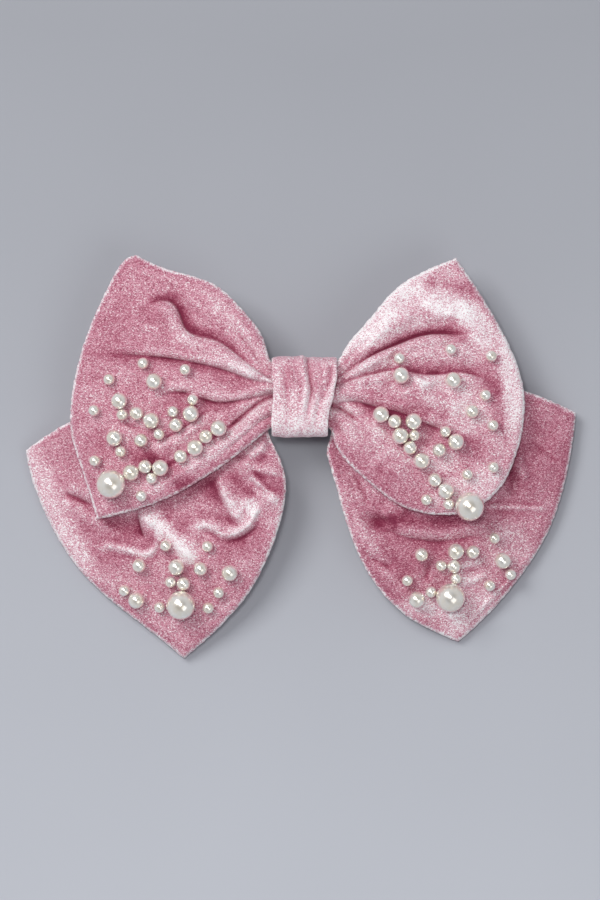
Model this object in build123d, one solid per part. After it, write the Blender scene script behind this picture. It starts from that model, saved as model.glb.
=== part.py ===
from build123d import *
import math
import os

# Velvet double bow with scattered pearls on an 80 mm automatic (French) barrette clip. Millimetres.
# The bow lies face up on its clip: +Z out of the bow's face, +X along the clip, +Y to the bow's top.
# The origin is on the resting plane, under the middle of the whole outline.

# The middle of the clip, the knot and both gathered waists.
CLIP_X = 1.2
CLIP_Y = 20.7

# Each bow layer is a slice of a large ball under the knot, so its corners droop to the clip's height.
TAILS_TOP = 20.5
TAILS_RADIUS = 311.0
BOW_TOP = 25.2
BOW_RADIUS = 400.0
CLOTH = 1.4
INTERLINING = 1.0
PRISM_HEIGHT = 60.0

# The front bow's outline: smooth runs from corner to corner, anticlockwise from the waist's top.
BOW_WAIST_TOP = [(12.3, 33), (CLIP_X, 32.4), (-10.2, 33)]
LEFT_WING_TOP = [(-10.2, 33), (-13, 41), (-20, 50.5), (-30, 59.5), (-46, 64.5), (-57, 69)]
LEFT_WING_SIDE = [(-57, 69), (-61, 67), (-66, 59.5), (-74.5, 40), (-79.5, 12), (-76, -3), (-69.5, -21)]
LEFT_WING_FOOT = [(-69.5, -21), (-50, -15.8), (-30, -5), (-14, 7), (-10.2, 9.7)]
BOW_WAIST_FOOT = [(-10.2, 9.7), (0, 10.1), (9.9, 9.7)]
RIGHT_WING_ROUND = [(9.9, 9.7), (12, 4), (22, -7.5), (35, -17), (46, -19.8), (57, -19), (65, -14.5),
                    (71, -7), (77, 14), (74.5, 32), (65, 51), (53.5, 68.5)]
RIGHT_WING_TOP = [(53.5, 68.5), (34, 59), (24, 48), (16, 38.5), (12.3, 33)]
BOW_RUNS = [BOW_WAIST_TOP, LEFT_WING_TOP, LEFT_WING_SIDE, LEFT_WING_FOOT, BOW_WAIST_FOOT,
            RIGHT_WING_ROUND, RIGHT_WING_TOP]

# The outline of the pair of tails behind it.
TAILS_WAIST_TOP = [(12.5, 32.5), (CLIP_X, 32.2), (-10.2, 32.5)]
LEFT_TAIL_TOP = [(-10.2, 32.5), (-45, 24), (-80, 11.5), (-94.5, 1.5)]
LEFT_TAIL_SIDE = [(-94.5, 1.5), (-93, -8), (-85, -26.5), (-72, -44), (-52, -60), (-40, -69)]
LEFT_TAIL_INNER = [(-40, -69), (-24, -54.5), (-13.5, -39), (-5.3, -14), (-7, -1), (-10.6, 6), (-11, 9.7)]
TAILS_WAIST_FOOT = [(-11, 9.7), (0, 10), (10.3, 9.7)]
RIGHT_TAIL_INNER = [(10.3, 9.7), (10, 6.3), (8.9, 2.5), (9.5, -1), (14, -17), (22, -38), (36, -54.5),
                    (54.5, -63.3)]
RIGHT_TAIL_SIDE = [(54.5, -63.3), (64, -55), (77, -40), (88, -20), (93.5, 4), (94.5, 14.5)]
RIGHT_TAIL_TOP = [(94.5, 14.5), (77, 22.3), (45, 28), (12.5, 32.5)]
TAILS_RUNS = [TAILS_WAIST_TOP, LEFT_TAIL_TOP, LEFT_TAIL_SIDE, LEFT_TAIL_INNER, TAILS_WAIST_FOOT,
              RIGHT_TAIL_INNER, RIGHT_TAIL_SIDE, RIGHT_TAIL_TOP]

# The knot band: a ring of cloth round both waists and the clip's top bar.
KNOT_PLAN = [(-9.8, 34.4), (12, 34.4), (9.3, 6.9), (-9.6, 6.9)]
KNOT_FOOT = 6.9
KNOT_HEAD = 34.4
KNOT_WALL = 1.2
KNOT_UNDERSIDE = 12.5
KNOT_SHOULDER = 26.5
KNOT_CROWN = 30.0
KNOT_CORNER = 1.5
KNOT_HOLLOW_TOP = 25.55

# Sewing threads.
THREAD_R = 0.12
GATHER_TURNS = 3
GATHER_PITCH = 0.5
TAILS_GATHER_X = -3.0
BOW_GATHER_X = 3.0
GATHER_FOOT = 9.45
GATHER_HEAD = 32.75
TAILS_GATHER_Z = (16.2, 20.75)
BOW_GATHER_Z = (20.78, 25.37)
GATHER_CORNER = 0.3
STITCH_COUNT = 7
STITCH_PITCH = 2.4
STITCH_LENGTH = 2.6
STITCH_Y = -8.0

# The clip's top bar, arched, with an ear on each side at the hinge end and a flat latch tab at the other.
BAR_WIDTH = 9.0
BAR_THICKNESS = 0.8
BAR_HALF_LENGTH = 38.0
BAR_END_Z = 6.5
BAR_MIDDLE_Z = 14.5
LATCH_TAB_INNER_X = -31.5
SEWING_HOLE_X = 30.0
SEWING_HOLE_R = 1.0
EAR_THICKNESS = 0.8
EAR_PROFILE = [(33.6, 8.6), (33.6, 5.5), (37.4, 5.2), (37.4, 0), (41.4, 0), (41.4, 6.2), (38, 7.2)]

# The hinge pin and the clasp that turns on it.
PIN_X = 39.5
PIN_Z = 3.2
PIN_R = 0.6
PIN_HEAD_R = 1.0
PIN_HEAD = 0.3
BARREL_R = 1.2
BARREL_BORE_R = 0.65
CLASP_WIDTH = 7.0
CLASP_THICKNESS = 0.8
CLASP_END_Z = 2.0
CLASP_MIDDLE_Z = 2.8
WINDOW_FRAME = (-41.0, -31.0)
WINDOW = (-38.3, -31.7)
WINDOW_WIDTH = 6.3
LIP_PROFILE = [(-41, 2.0), (-41, 2.8), (-43, 2.1), (-43, 1.3)]
LIP_WIDTH = 6.0

# The tension bar, a thin leaf that presses the hair, on two trunnions in the ears.
LEAF_WIDTH = 6.0
LEAF_THICKNESS = 0.4
LEAF_UNDERSIDE = [(-28, 7.1), (0, 8.3), (35.4, 6.2)]
TRUNNION_X = 34.8
TRUNNION_Z = 6.42
TRUNNION_R = 0.45
TRUNNION_HOLE_R = 0.5
TRUNNION_SPAN = 8.6

# The two spring prongs that the clasp's window snaps over.
PRONG_X = (-37.0, -33.0)
PRONG_Y = 2.1
PRONG_THICKNESS = 0.8
PRONG_PIVOT_Z = 6.05
BARB_REACH = 0.55
BARB_TOP = 1.85

# Felt pad between the top bar and the tails.
FELT_HALF_LENGTH = 12.0
FELT_WIDTH = 10.0
FELT_THICKNESS = 0.6
FELT_GAP = 0.1

# Pearls: plan places on each panel, by nominal diameter.
PEARL_GAP = 0.05
PEARL_BORE_R = 0.4
PEARL_SIZES = {"10mm": 10.0, "6mm": 5.7, "5mm": 4.8, "4mm": 4.0}
SETTLING_PASSES = 200
BEARINGS = 12
LEG_OFFSET = 0.3
LEG_CORNER = 0.2
LEFT_WING_PEARLS = {
    "10mm": [(-65.2, -9.2)],
    "6mm": [(-50.5, 26), (-62.5, 19.2), (-51.5, 12.5), (-37.8, 15), (-64.2, 6.5), (-28.5, 9.8), (-36.4, 3.2),
            (-58, -5.2), (-49, -4)],
    "5mm": [(-56.5, 15), (-43, 11), (-55, 5.7), (-32.5, 7.2), (-41.4, 0.2), (-53.8, -3.6)],
    "4mm": [(-54.3, 32.2), (-39.8, 30), (-66, 26.7), (-71.2, 16), (-61.5, 14.6), (-44, 15.6), (-37.2, 19.5),
            (-48.8, 7.8), (-62, 1.8), (-70.9, -1.3), (-51.1, -7), (-54.9, -13.4)],
}
RIGHT_WING_PEARLS = {
    "10mm": [(58, -17)],
    "6mm": [(34.4, 28), (52.3, 26.4), (28, 14.3), (38.7, 12.2), (34, 7.8), (53.3, 5.2), (41.5, -1.3),
            (49.8, -12)],
    "5mm": [(58.8, 15.7), (32, 11.8), (37.5, 3.8), (47.5, 2.4), (46.1, -8)],
    "4mm": [(51.5, 37), (65.4, 34.7), (33.8, 33.9), (63.4, 21.3), (66, 10.9), (38.8, 7), (49.6, 8.7),
            (43.1, -14.7), (50.7, -15.8), (57.2, -6), (66.2, -3.5)],
}
LEFT_TAIL_PEARLS = {
    "10mm": [(-41.4, -51)],
    "6mm": [(-43, -38), (-24.6, -40), (-56.8, -49.5)],
    "5mm": [(-55.9, -37.5), (-34.6, -38.6), (-40.5, -43.9)],
    "4mm": [(-46.7, -30.6), (-32.2, -30.8), (-45, -43.2), (-61, -46.1), (-48.8, -51.9), (-28.4, -46.8),
            (-32, -52.1)],
}
RIGHT_TAIL_PEARLS = {
    "10mm": [(51.6, -48)],
    "6mm": [(53.4, -32.8), (69.7, -35.8), (40, -49.2)],
    "5mm": [(41.6, -33.7), (59.4, -32.8), (52.7, -37.9)],
    "4mm": [(66.8, -28), (48.5, -37.5), (53.3, -42), (72.4, -40.6), (36.7, -42.6), (65.2, -44.4),
            (45, -46.6)],
}


def outline(runs):
    """A face bounded by smooth curves, one through the points of each run."""
    return make_face([Spline(*run) for run in runs])


def ball(radius):
    """A ball whose poles and seam lie far from the bow."""
    return Rot(90, 0, 0) * Sphere(radius)


def layer(runs, top, radius, depth, thickness):
    """The part of an outline's prism between two balls about the point under the knot."""
    outer = radius - depth
    shell = ball(outer) - ball(outer - thickness)
    return extrude(outline(runs), PRISM_HEIGHT) & (Pos(CLIP_X, CLIP_Y, top - radius) * shell)


def cloth_layers(name, runs, top, radius):
    """Front cloth, interlining and back cloth of one bow layer, all caught in one edge seam."""
    return {
        name + "_front_panel": [layer(runs, top, radius, 0, CLOTH)],
        name + "_interlining": [layer(runs, top, radius, CLOTH, INTERLINING)],
        name + "_back_panel": [layer(runs, top, radius, CLOTH + INTERLINING, CLOTH)],
    }


def knot_band():
    r = KNOT_CORNER
    slack = r * (1 - math.sqrt(0.5))
    low = KNOT_UNDERSIDE
    middle = (KNOT_FOOT + KNOT_HEAD) / 2
    outer = make_face([
        Line((KNOT_FOOT + r, low), (KNOT_HEAD - r, low)),
        ThreePointArc((KNOT_HEAD - r, low), (KNOT_HEAD - slack, low + slack), (KNOT_HEAD, low + r)),
        Line((KNOT_HEAD, low + r), (KNOT_HEAD, KNOT_SHOULDER)),
        ThreePointArc((KNOT_HEAD, KNOT_SHOULDER), (middle, KNOT_CROWN), (KNOT_FOOT, KNOT_SHOULDER)),
        Line((KNOT_FOOT, KNOT_SHOULDER), (KNOT_FOOT, low + r)),
        ThreePointArc((KNOT_FOOT, low + r), (KNOT_FOOT + slack, low + slack), (KNOT_FOOT + r, low)),
    ])
    hollow_low = low + KNOT_WALL
    hollow = Pos(middle, (hollow_low + KNOT_HOLLOW_TOP) / 2) * Rectangle(
        KNOT_HEAD - KNOT_FOOT - 2 * KNOT_WALL, KNOT_HOLLOW_TOP - hollow_low)
    reach = 20.0
    ring = Pos(-reach, 0, 0) * extrude(Plane.YZ * (outer - hollow), 2 * reach)
    return ring & extrude(make_face(Polyline(*KNOT_PLAN, close=True)), PRISM_HEIGHT)


def thread_loop(x, foot, head, low, high):
    """One closed turn of thread in the YZ plane at x."""
    path = Plane.YZ.offset(x) * (Pos((foot + head) / 2, (low + high) / 2) * RectangleRounded(
        head - foot, high - low, GATHER_CORNER)).face().outer_wire()
    start = path.edges()[0]
    section = Plane(origin=start @ 0, z_dir=start % 0) * Circle(THREAD_R)
    return sweep(section, path=path, transition=Transition.ROUND)


def gather_thread(x, heights):
    first = CLIP_X + x - GATHER_PITCH * (GATHER_TURNS - 1) / 2
    return [thread_loop(first + turn * GATHER_PITCH, GATHER_FOOT, GATHER_HEAD, *heights)
            for turn in range(GATHER_TURNS)]


def closing_stitches():
    """Short stitches across the knot band's join, on its underside."""
    first = CLIP_X - STITCH_PITCH * (STITCH_COUNT - 1) / 2 - 1
    z = KNOT_UNDERSIDE - THREAD_R - 0.02
    stitch = Rot(90, 0, 0) * Cylinder(THREAD_R, STITCH_LENGTH)
    return [Pos(first + i * STITCH_PITCH, CLIP_Y + STITCH_Y, z) * stitch for i in range(STITCH_COUNT)]


def slab(profile, low, high):
    """A profile in the clip's XZ plane, given thickness from low to high across the clip."""
    return Pos(CLIP_X, CLIP_Y + high, 0) * extrude(Plane.XZ * profile, high - low)


def polygon(points):
    return make_face(Polyline(*points, close=True))


def arched(points, thickness):
    """The profile of a strip on a three-point arc, its thickness measured upwards."""
    left, middle, right = points
    top = [(x, z + thickness) for x, z in points]
    return make_face([
        ThreePointArc(left, middle, right),
        Line(right, top[2]),
        ThreePointArc(top[2], top[1], top[0]),
        Line(top[0], left),
    ])


def cross_rod(x, z, r, low, high):
    """A round rod across the clip."""
    return Pos(CLIP_X + x, CLIP_Y + (low + high) / 2, z) * Rot(90, 0, 0) * Cylinder(r, high - low)


def block(x_range, width, z_range):
    size = (x_range[1] - x_range[0], width, z_range[1] - z_range[0])
    place = (CLIP_X + sum(x_range) / 2, CLIP_Y, sum(z_range) / 2)
    return Pos(*place) * Box(*size)


def top_bar():
    half = BAR_WIDTH / 2
    bar = slab(arched([(-BAR_HALF_LENGTH, BAR_END_Z), (0, BAR_MIDDLE_Z), (BAR_HALF_LENGTH, BAR_END_Z)],
                      BAR_THICKNESS), -half, half)
    bar += block((-BAR_HALF_LENGTH, LATCH_TAB_INNER_X), BAR_WIDTH, (BAR_END_Z, BAR_END_Z + BAR_THICKNESS))
    for low in (-half, half - EAR_THICKNESS):
        bar += slab(polygon(EAR_PROFILE), low, low + EAR_THICKNESS)
    for x in (-SEWING_HOLE_X, SEWING_HOLE_X):
        bar -= Pos(CLIP_X + x, CLIP_Y, BAR_MIDDLE_Z) * Cylinder(SEWING_HOLE_R, BAR_MIDDLE_Z)
    bar -= cross_rod(PIN_X, PIN_Z, PIN_R, -BAR_WIDTH, BAR_WIDTH)
    return bar - cross_rod(TRUNNION_X, TRUNNION_Z, TRUNNION_HOLE_R, -BAR_WIDTH, BAR_WIDTH)


def hinge_pin():
    half = BAR_WIDTH / 2
    pin = cross_rod(PIN_X, PIN_Z, PIN_R, -half, half)
    pin += cross_rod(PIN_X, PIN_Z, PIN_HEAD_R, half, half + PIN_HEAD)
    return pin + cross_rod(PIN_X, PIN_Z, PIN_HEAD_R, -half - PIN_HEAD, -half)


def clasp_arm():
    half = CLASP_WIDTH / 2
    middle = (WINDOW_FRAME[1] + PIN_X) / 2
    arm = slab(arched([(WINDOW_FRAME[1] - 0.5, CLASP_END_Z), (middle, CLASP_MIDDLE_Z), (PIN_X - 0.9, CLASP_END_Z)],
                      CLASP_THICKNESS), -half, half)
    level = (CLASP_END_Z, CLASP_END_Z + CLASP_THICKNESS)
    arm += block(WINDOW_FRAME, BAR_WIDTH, level)
    arm -= block(WINDOW, WINDOW_WIDTH, (0, 2 * level[1]))
    arm += slab(polygon(LIP_PROFILE), -LIP_WIDTH / 2, LIP_WIDTH / 2)
    arm += cross_rod(PIN_X, PIN_Z, BARREL_R, -half, half)
    return arm - cross_rod(PIN_X, PIN_Z, BARREL_BORE_R, -BAR_WIDTH, BAR_WIDTH)


def tension_bar():
    leaf = slab(arched(LEAF_UNDERSIDE, LEAF_THICKNESS), -LEAF_WIDTH / 2, LEAF_WIDTH / 2)
    return leaf + cross_rod(TRUNNION_X, TRUNNION_Z, TRUNNION_R, -TRUNNION_SPAN / 2, TRUNNION_SPAN / 2)


def catch_prong(side):
    """One prong, hung just below the latch tab on a rounded root; side is -1 at the front, 1 at the rear."""
    half = PRONG_THICKNESS / 2
    barb = PRONG_Y + half + BARB_REACH
    profile = polygon([
        (side * (PRONG_Y - half), PRONG_PIVOT_Z),
        (side * (PRONG_Y - half), 0),
        (side * (PRONG_Y + half / 2), 0),
        (side * barb, BARB_TOP - 0.4),
        (side * barb, BARB_TOP),
        (side * (PRONG_Y + half), BARB_TOP),
        (side * (PRONG_Y + half), PRONG_PIVOT_Z),
    ])
    profile += Pos(side * PRONG_Y, PRONG_PIVOT_Z) * Circle(half)
    return Pos(CLIP_X + PRONG_X[0], CLIP_Y, 0) * extrude(Plane.YZ * profile, PRONG_X[1] - PRONG_X[0])


def backing_felt():
    radius = (BAR_HALF_LENGTH ** 2 + (BAR_MIDDLE_Z - BAR_END_Z) ** 2) / 2 / (BAR_MIDDLE_Z - BAR_END_Z)
    low = BAR_MIDDLE_Z + BAR_THICKNESS + FELT_GAP
    drop = radius - math.sqrt(radius ** 2 - FELT_HALF_LENGTH ** 2)
    ends = [(-FELT_HALF_LENGTH, low - drop), (0, low), (FELT_HALF_LENGTH, low - drop)]
    return slab(arched(ends, FELT_THICKNESS), -FELT_WIDTH / 2, FELT_WIDTH / 2)


def height_on(x, y, top, radius, above):
    """The height of a point that is above a layer's top surface by a distance along its normal."""
    across = math.hypot(x - CLIP_X, y - CLIP_Y)
    return top - radius + math.sqrt((radius + above) ** 2 - across ** 2)


def clear_bearing(place, r, others):
    """The bearing of a pearl's bore, in degrees, whose two ends are the furthest from the other pearls."""
    def room(bearing):
        turn = math.radians(bearing)
        step = (r + LEG_OFFSET) * math.cos(turn), (r + LEG_OFFSET) * math.sin(turn)
        ends = [(place[0] + step[0], place[1] + step[1]), (place[0] - step[0], place[1] - step[1])]
        return min(math.dist(end, other) - other_r for end in ends for other, other_r in others)
    return max((180 * i / BEARINGS for i in range(BEARINGS)), key=room)


def pearl(x, y, z, r, bearing):
    bore = Rot(0, 90, 0) * Cylinder(PEARL_BORE_R, 3 * r)
    return Pos(x, y, z) * Rot(0, 0, bearing) * (Sphere(r) - bore)


def pearl_thread(x, y, z, r, bearing, top, radius):
    """A staple of thread: through the pearl's bore and down into the cloth on both sides."""
    turn = math.radians(bearing)
    reach = r + LEG_OFFSET
    ends = [(x - reach * math.cos(turn), y - reach * math.sin(turn)),
            (x + reach * math.cos(turn), y + reach * math.sin(turn))]
    feet = [(ex, ey, height_on(ex, ey, top, radius, PEARL_GAP)) for ex, ey in ends]
    tops = [(ex, ey, z) for ex, ey in ends]
    path = FilletPolyline(feet[0], tops[0], tops[1], feet[1], radius=LEG_CORNER)
    start = path.edges()[0]
    return sweep(Plane(origin=start @ 0, z_dir=start % 0) * Circle(THREAD_R), path=path)


def pearl_centre(x, y, r, top, radius):
    return x, y, height_on(x, y, top, radius, r + PEARL_GAP)


def settled(spots, top, radius):
    """The same pearls, (x, y, r, size), with neighbours that would bite into each other eased apart."""
    spots = [list(spot) for spot in spots]
    for _ in range(SETTLING_PASSES):
        for i, one in enumerate(spots):
            for other in spots[:i]:
                centres = [pearl_centre(*spot[:3], top, radius) for spot in (one, other)]
                bite = one[2] + other[2] + 2 * PEARL_GAP - math.dist(*centres)
                if bite > 0:
                    push = bite / 2 / math.dist(one[:2], other[:2])
                    step = [(one[k] - other[k]) * push for k in (0, 1)]
                    one[:2] = one[0] + step[0], one[1] + step[1]
                    other[:2] = other[0] - step[0], other[1] - step[1]
    return spots


def sew_on(panel, pearls, top, radius):
    """The pearls of one panel, a node for each size, and the thread that holds them."""
    spots = [(x, y, PEARL_SIZES[size] / 2, size) for size, places in pearls.items() for x, y in places]
    spots = settled(spots, top, radius)
    nodes = {"pearls_" + panel + "_" + size: [] for size in pearls}
    nodes["pearl_thread_" + panel] = []
    for spot in spots:
        x, y, r, size = spot
        z = pearl_centre(x, y, r, top, radius)[2]
        bearing = clear_bearing((x, y), r, [(other[:2], other[2]) for other in spots if other is not spot])
        nodes["pearls_" + panel + "_" + size].append(pearl(x, y, z, r, bearing))
        nodes["pearl_thread_" + panel].append(pearl_thread(x, y, z, r, bearing, top, radius))
    return nodes


def all_nodes():
    nodes = {
        "clip_top_bar": [top_bar()],
        "clip_hinge_pin": [hinge_pin()],
        "clip_clasp_arm": [clasp_arm()],
        "clip_tension_bar": [tension_bar()],
        "catch_prong_front": [catch_prong(-1)],
        "catch_prong_rear": [catch_prong(1)],
        "clip_backing_felt": [backing_felt()],
        "knot_band": [knot_band()],
        "knot_closing_stitches": closing_stitches(),
        "tails_gather_thread": gather_thread(TAILS_GATHER_X, TAILS_GATHER_Z),
        "bow_gather_thread": gather_thread(BOW_GATHER_X, BOW_GATHER_Z),
    }
    nodes |= cloth_layers("bow", BOW_RUNS, BOW_TOP, BOW_RADIUS)
    nodes |= cloth_layers("tails", TAILS_RUNS, TAILS_TOP, TAILS_RADIUS)
    nodes |= sew_on("left_wing", LEFT_WING_PEARLS, BOW_TOP, BOW_RADIUS)
    nodes |= sew_on("right_wing", RIGHT_WING_PEARLS, BOW_TOP, BOW_RADIUS)
    nodes |= sew_on("left_tail", LEFT_TAIL_PEARLS, TAILS_TOP, TAILS_RADIUS)
    nodes |= sew_on("right_tail", RIGHT_TAIL_PEARLS, TAILS_TOP, TAILS_RADIUS)
    return nodes


os.makedirs("parts", exist_ok=True)
for node_name, solids in all_nodes().items():
    export_step(Compound(children=[solid for shape in solids for solid in shape.solids()]),
                "parts/" + node_name + ".step")
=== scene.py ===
"""A velvet double-bow barrette with pearls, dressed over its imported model."""
import math

import bpy
import numpy as np
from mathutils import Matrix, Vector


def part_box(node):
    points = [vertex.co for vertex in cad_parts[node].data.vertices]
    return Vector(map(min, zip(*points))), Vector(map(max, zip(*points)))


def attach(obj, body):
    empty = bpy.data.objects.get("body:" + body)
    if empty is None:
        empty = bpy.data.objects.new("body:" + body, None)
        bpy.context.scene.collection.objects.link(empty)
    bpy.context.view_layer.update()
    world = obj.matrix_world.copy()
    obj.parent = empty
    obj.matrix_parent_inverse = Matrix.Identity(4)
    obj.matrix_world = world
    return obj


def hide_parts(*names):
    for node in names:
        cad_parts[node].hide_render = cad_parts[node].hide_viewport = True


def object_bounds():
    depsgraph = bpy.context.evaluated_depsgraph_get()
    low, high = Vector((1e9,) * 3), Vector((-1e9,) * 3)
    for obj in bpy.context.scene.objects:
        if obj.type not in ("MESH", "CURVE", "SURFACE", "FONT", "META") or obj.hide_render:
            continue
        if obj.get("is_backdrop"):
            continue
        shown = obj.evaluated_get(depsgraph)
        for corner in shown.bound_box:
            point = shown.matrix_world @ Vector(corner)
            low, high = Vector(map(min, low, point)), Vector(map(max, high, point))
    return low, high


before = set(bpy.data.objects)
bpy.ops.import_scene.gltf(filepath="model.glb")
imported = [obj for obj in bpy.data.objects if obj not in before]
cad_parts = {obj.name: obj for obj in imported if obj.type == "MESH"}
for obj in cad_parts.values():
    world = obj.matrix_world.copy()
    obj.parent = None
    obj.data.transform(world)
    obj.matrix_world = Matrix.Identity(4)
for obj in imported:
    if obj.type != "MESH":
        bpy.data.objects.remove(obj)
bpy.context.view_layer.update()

# Sizes are in millimetres, apart from those that say metres, and meshes are made in metres.
MM = 0.001


def corners_mm(node):
    """The lowest and highest corners of a CAD node, in millimetres."""
    return [np.array(corner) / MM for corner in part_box(node)]


# The knot's place and the balls that the two bow layers lie on, as in the CAD model.
KNOT_LOW, KNOT_HIGH = corners_mm("knot_band")
CLIP_X = 1.2
CLIP_Y = 20.7
BOW_TOP = corners_mm("bow_front_panel")[1][2]
BOW_RADIUS = 400.0
TAILS_TOP = corners_mm("tails_front_panel")[1][2]
TAILS_RADIUS = 311.0
LAYER_THICKNESS = 3.8
LAYERS = {"bow": (BOW_TOP, BOW_RADIUS), "tails": (TAILS_TOP, TAILS_RADIUS)}

# How each panel is meshed and finished.
ROWS = 218
COLUMNS = 218
RUN_POINTS = 600  # points along each run of an outline
EDGE_CROWDING = 0.3  # how much closer the rows and columns are at the edges, from 0 to 1
RIM_WIDTH = 2.0  # the turned edge
RIM_CALM = 6.0  # folds die away over this distance from the edge
FRAY_WIDTH = 1.2
OVERHANG = 0.4  # how far the rolled side of a crease leans over it, for each unit of ridge
LOWEST = 0.3  # the underside stays this far above the table
THINNEST = 0.5  # the least thickness away from the rim
PEARL_SINK = 0.02  # how far the cloth keeps below the underside of a pearl
PANEL_AREA_SHARE = 0.72  # a leaf's share of its rectangle, with the gathers let out at the waist

# Outlines, corner to corner. A run that starts at the knot starts a little inside it.
LEFT_WING = {
    "foot": [(-7, 10.6), (-10.2, 9.9), (-14, 7), (-30, -5), (-50, -15.8), (-70.2, -21.6)],
    "side": [(-70.2, -21.6), (-76, -3), (-79.5, 12), (-74.5, 40), (-66, 59.5), (-61, 67.5), (-56.8, 69.7)],
    "top": [(-7, 31.5), (-10.2, 33), (-13, 41), (-20, 50.5), (-30, 59.5), (-46, 64.7), (-56.8, 69.7)],
}
RIGHT_WING = {
    "foot": [(7, 10.6), (9.9, 9.7), (12, 4), (22, -7.5), (35, -17), (46, -19.8), (57, -19), (65, -14.5)],
    "side": [(65, -14.5), (71, -7), (77, 14), (74.5, 32), (65, 51), (53.5, 68.5)],
    "top": [(7, 31), (12.3, 33), (16, 38.5), (24, 48), (34, 59), (53.5, 68.5)],
}
LEFT_TAIL = {
    "foot": [(-7, 11), (-11, 9.7), (-10.6, 6), (-7, -1), (-5.3, -14), (-13.5, -39), (-24, -54.5),
             (-40.4, -69.8)],
    "side": [(-40.4, -69.8), (-52, -60.3), (-72, -44), (-85, -26.5), (-93, -8), (-95.2, 2.4)],
    "top": [(-7, 31), (-10.2, 32), (-45, 24), (-80, 12), (-95.2, 2.4)],
}
RIGHT_TAIL = {
    "foot": [(7, 11), (10.3, 9.7), (10, 6.3), (8.9, 2.5), (9.5, -1), (14, -17), (22, -38), (36, -54.5),
             (54.4, -64)],
    "side": [(54.4, -64), (64, -55.3), (77, -40), (88, -20), (93.8, 4), (95.2, 15.2)],
    "top": [(7, 31), (12.5, 32), (45, 28), (77, 22.8), (95.2, 15.2)],
}

# Creases: (points, depth, width to the left of travel, width to the right, ridge left, ridge right, share of
# the depth that is there at the start).
LEFT_WING_CREASES = [
    ([(-7, 26), (-10.5, 27.3), (-17, 31.5), (-23, 36.5), (-29, 40.3), (-36, 42.2)],
     1.2, 1.5, 2.8, 1.5, 0.0, 1.0),
    ([(-25, 38.5), (-29, 40.5), (-33.6, 41.6), (-38.8, 43.8), (-40.9, 48.2), (-42.8, 52), (-46.1, 54.2),
      (-50.7, 53.4), (-54, 49.5)], 1.7, 1.7, 3.6, 1.3, 0.2, 0.0),
    ([(-7, 24), (-10.2, 24.7), (-17.1, 26.3), (-27, 30), (-36.9, 32.3), (-46.1, 33.9), (-58, 34.9),
      (-69, 35.5)], 2.0, 3.0, 1.2, 0.0, 1.1, 0.7),
    ([(-7, 22.2), (-17, 20.3), (-28.3, 18.6), (-35.6, 20.7), (-40.9, 22.1), (-46.1, 21.7), (-52, 19)],
     2.3, 3.6, 1.2, 0.0, 1.0, 0.4),
    ([(-28, 18.2), (-34.9, 14.1), (-43.5, 8.2), (-48.8, 6.2), (-56, 5)], 2.0, 1.3, 3.4, 1.2, 0.0, 0.0),
    ([(-7, 20.8), (-11.8, 20), (-18.4, 15.4), (-25, 10.1), (-32.3, 5.5), (-40.2, 0.2), (-47.5, -3),
      (-55, -3.7)], 2.6, 2.0, 2.0, 1.0, 0.7, 1.0),
    ([(-53, 8.2), (-57, 9.8), (-62, 12.4)], 1.3, 1.2, 2.2, 0.5, 0.3, 0.0),
    ([(-7, 28.5), (-11, 30), (-18, 38), (-24, 46)], 1.2, 1.2, 1.8, 0.4, 0.4, 1.0),
    ([(-7, 15), (-12, 13), (-19, 7.5), (-27, 1)], 1.0, 1.4, 1.4, 0.3, 0.3, 1.0),
]
RIGHT_WING_CREASES = [
    ([(7, 25.5), (12.2, 27.3), (19.4, 32), (26, 35.9), (32.6, 38.6), (39.2, 41.2), (45.8, 42.5),
      (52.4, 42.5), (57.7, 41.9), (60, 38.5)], 2.7, 4.2, 1.2, 0.6, 1.4, 0.4),
    ([(7, 23.6), (12.2, 24.7), (19.4, 27.3), (26, 29), (31.3, 30), (37.2, 29.7), (42.5, 28.7),
      (48.5, 28.7), (55.1, 29.3), (61, 28), (65.6, 26), (69.6, 22)], 2.4, 3.4, 1.2, 0.3, 1.3, 0.5),
    ([(7, 18.8), (11.5, 18.4), (15.5, 18.8), (20.8, 18.4), (26, 16.8), (32.6, 15.4), (39.2, 12.8),
      (45.8, 10.2), (52.4, 8.2), (59, 5.6), (65, 2.3)], 2.2, 1.3, 4.0, 1.1, 0.0, 0.7),
    ([(7, 18), (11.5, 17.4), (15.5, 15.4), (21.4, 10.9)], 1.8, 1.3, 1.3, 0.6, 0.5, 1.0),
    ([(20, 16.5), (27, 11.5), (33, 5.8), (38, 1), (43, -2.5)], 1.4, 3.0, 1.4, 0.0, 0.9, 0.0),
    ([(36.5, 29.6), (40, 27.6), (44.5, 26.2)], 1.2, 1.2, 1.4, 0.5, 0.5, 0.0),
    ([(7, 14), (11.5, 11.5), (15.5, 5.5)], 1.2, 1.3, 1.3, 0.4, 0.3, 1.0),
    ([(7, 28.5), (13, 31.5), (20, 38), (27, 43)], 1.0, 1.4, 1.6, 0.3, 0.3, 1.0),
]
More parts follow.
